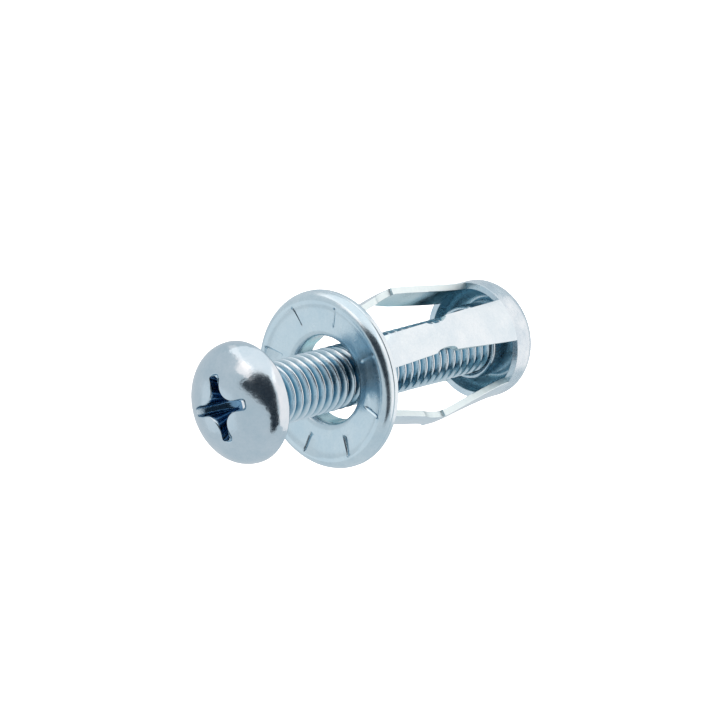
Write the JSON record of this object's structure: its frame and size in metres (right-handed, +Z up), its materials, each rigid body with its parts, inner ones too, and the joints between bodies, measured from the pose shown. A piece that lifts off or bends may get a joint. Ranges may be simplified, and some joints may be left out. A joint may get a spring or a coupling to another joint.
{
  "type": "wall anchor",
  "caption": "Folding-leg hollow wall anchor: a slotted sheet sleeve with a flange and a threaded domed cap, drawn together by a pan-head screw.",
  "frame": {"origin": "on the anchor's axis, in the plane of the flange rim that rests on the wall", "axes": "+Y along the axis into the wall, from the screw head towards the cap; +Z up"},
  "size_m": [0.0168, 0.0388, 0.0168],
  "materials": {
    "zinc_sheet": "bright blue-white zinc plate on stamped sheet steel",
    "zinc_screw": "bright blue-white zinc plate on a rolled-thread steel screw"
  },
  "bodies": {
    "flange": {"flange": "zinc_sheet"},
    "front_leg_1": {"front_leg_1": "zinc_sheet"},
    "front_leg_2": {"front_leg_2": "zinc_sheet"},
    "front_leg_3": {"front_leg_3": "zinc_sheet"},
    "front_leg_4": {"front_leg_4": "zinc_sheet"},
    "rear_leg_1": {"rear_leg_1": "zinc_sheet"},
    "rear_leg_2": {"rear_leg_2": "zinc_sheet"},
    "rear_leg_3": {"rear_leg_3": "zinc_sheet"},
    "rear_leg_4": {"rear_leg_4": "zinc_sheet"},
    "cap": {"cap": "zinc_sheet"},
    "screw": {"screw": "zinc_screw"}
  },
  "joints": [
    {"name": "leg_1_hip", "type": "hinge", "parent": "flange", "child": "front_leg_1", "pos_m": [0.00403, 0.0014, 0.00252], "axis": [0.5299, 0, -0.848], "range_deg": [0, 77]},
    {"name": "leg_1_knee", "type": "hinge", "parent": "front_leg_1", "child": "rear_leg_1", "pos_m": [0.00505, 0.0107, 0.00315], "axis": [0.5299, 0, -0.848], "range_deg": [-154, 0]},
    {"name": "cap_leg_1", "type": "hinge", "parent": "rear_leg_1", "child": "cap", "pos_m": [0.00403, 0.02, 0.00252], "axis": [0.5299, 0, -0.848], "range_deg": [0, 77]},
    {"name": "leg_2_ankle", "type": "hinge", "parent": "cap", "child": "rear_leg_2", "pos_m": [-0.00252, 0.02, 0.00403], "axis": [0.848, 0, 0.5299], "range_deg": [-77, 0]},
    {"name": "leg_2_knee", "type": "hinge", "parent": "rear_leg_2", "child": "front_leg_2", "pos_m": [-0.00315, 0.0107, 0.00505], "axis": [0.848, 0, 0.5299], "range_deg": [0, 154]},
    {"name": "leg_3_ankle", "type": "hinge", "parent": "cap", "child": "rear_leg_3", "pos_m": [-0.00403, 0.02, -0.00252], "axis": [-0.5299, 0, 0.848], "range_deg": [-77, 0]},
    {"name": "leg_3_knee", "type": "hinge", "parent": "rear_leg_3", "child": "front_leg_3", "pos_m": [-0.00505, 0.0107, -0.00315], "axis": [-0.5299, 0, 0.848], "range_deg": [0, 154]},
    {"name": "leg_4_ankle", "type": "hinge", "parent": "cap", "child": "rear_leg_4", "pos_m": [0.00252, 0.02, -0.00403], "axis": [-0.848, 0, -0.5299], "range_deg": [-77, 0]},
    {"name": "leg_4_knee", "type": "hinge", "parent": "rear_leg_4", "child": "front_leg_4", "pos_m": [0.00315, 0.0107, -0.00505], "axis": [-0.848, 0, -0.5299], "range_deg": [0, 154]},
    {"name": "screw_travel", "type": "slide", "parent": "flange", "child": "screw", "axis": [0, 1, 0], "range_m": [0, 0.01024]}
  ],
  "couplings": [
    {"joint": "leg_1_knee", "follows": "leg_1_hip", "ratio": -2},
    {"joint": "cap_leg_1", "follows": "leg_1_hip", "ratio": 1},
    {"joint": "leg_2_ankle", "follows": "leg_1_hip", "ratio": -1},
    {"joint": "leg_2_knee", "follows": "leg_1_hip", "ratio": 2},
    {"joint": "leg_3_ankle", "follows": "leg_1_hip", "ratio": -1},
    {"joint": "leg_3_knee", "follows": "leg_1_hip", "ratio": 2},
    {"joint": "leg_4_ankle", "follows": "leg_1_hip", "ratio": -1},
    {"joint": "leg_4_knee", "follows": "leg_1_hip", "ratio": 2}
  ]
}
